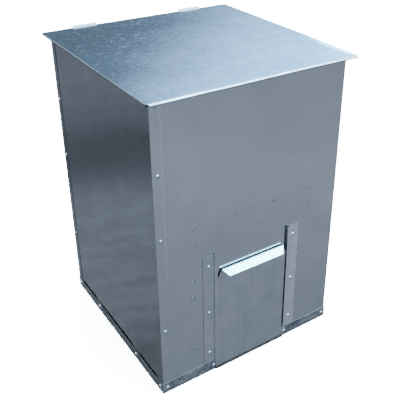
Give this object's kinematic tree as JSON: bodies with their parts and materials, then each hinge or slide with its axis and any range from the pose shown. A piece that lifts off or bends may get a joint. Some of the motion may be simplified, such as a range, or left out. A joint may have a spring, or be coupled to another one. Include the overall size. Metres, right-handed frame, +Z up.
{
  "type": "nesting box",
  "caption": "Square sheet-steel nesting box with an overhanging hinged lid, a riveted base pan and a small gate that lifts in two rails at the front.",
  "frame": {"origin": "middle of the base pan's underside, under the middle of the body's square plan", "axes": "+Z up, +Y from the gate towards the hinges, +X to the right of someone who faces the gate"},
  "size_m": [0.533, 0.5536, 0.755],
  "materials": {
    "zinc_body_sheet": "zinc-coated, slightly dull, fine spangle",
    "zinc_lid_sheet": "zinc-coated, semi-bright, rolled streaks",
    "zinc_pan_sheet": "zinc-coated, dull and mottled",
    "zinc_rail_strip": "zinc-coated, dull",
    "zinc_gate_sheet": "zinc-coated, slightly dull",
    "plated_hinge_steel": "bright zinc plating",
    "rivet_aluminium": "plain, satin"
  },
  "bodies": {
    "box": {"base_pan": "zinc_pan_sheet", "front_right_shell": "zinc_body_sheet", "left_side_panel": "zinc_body_sheet", "back_panel": "zinc_body_sheet", "inner_header": "zinc_body_sheet", "inner_stile_left": "zinc_body_sheet", "inner_stile_right": "zinc_body_sheet", "gate_rail_left": "zinc_rail_strip", "gate_rail_right": "zinc_rail_strip", "hinge_bracket_left": "plated_hinge_steel", "hinge_bracket_right": "plated_hinge_steel", "hinge_pin_left": "plated_hinge_steel", "hinge_pin_right": "plated_hinge_steel", "rivets_front_left_seam": "rivet_aluminium", "rivets_rear_left_seam": "rivet_aluminium", "rivets_rear_right_seam": "rivet_aluminium", "rivets_pan_front": "rivet_aluminium", "rivets_pan_back": "rivet_aluminium", "rivets_pan_left": "rivet_aluminium", "rivets_pan_right": "rivet_aluminium", "rivets_rail_left": "rivet_aluminium", "rivets_rail_right": "rivet_aluminium", "rivets_hinge_left": "rivet_aluminium", "rivets_hinge_right": "rivet_aluminium"},
    "lid": {"lid_sheet": "zinc_lid_sheet", "hinge_leaf_left": "plated_hinge_steel", "hinge_leaf_right": "plated_hinge_steel"},
    "gate": {"gate_plate": "zinc_gate_sheet"}
  },
  "joints": [
    {"name": "lid_hinge", "type": "hinge", "parent": "box", "child": "lid", "pos_m": [0, 0.27405, 0.7515], "axis": [-1, 0, 0], "range_deg": [0, 270]},
    {"name": "gate_lift", "type": "slide", "parent": "box", "child": "gate", "axis": [0, 0, 1], "range_m": [0, 0.27]}
  ]
}
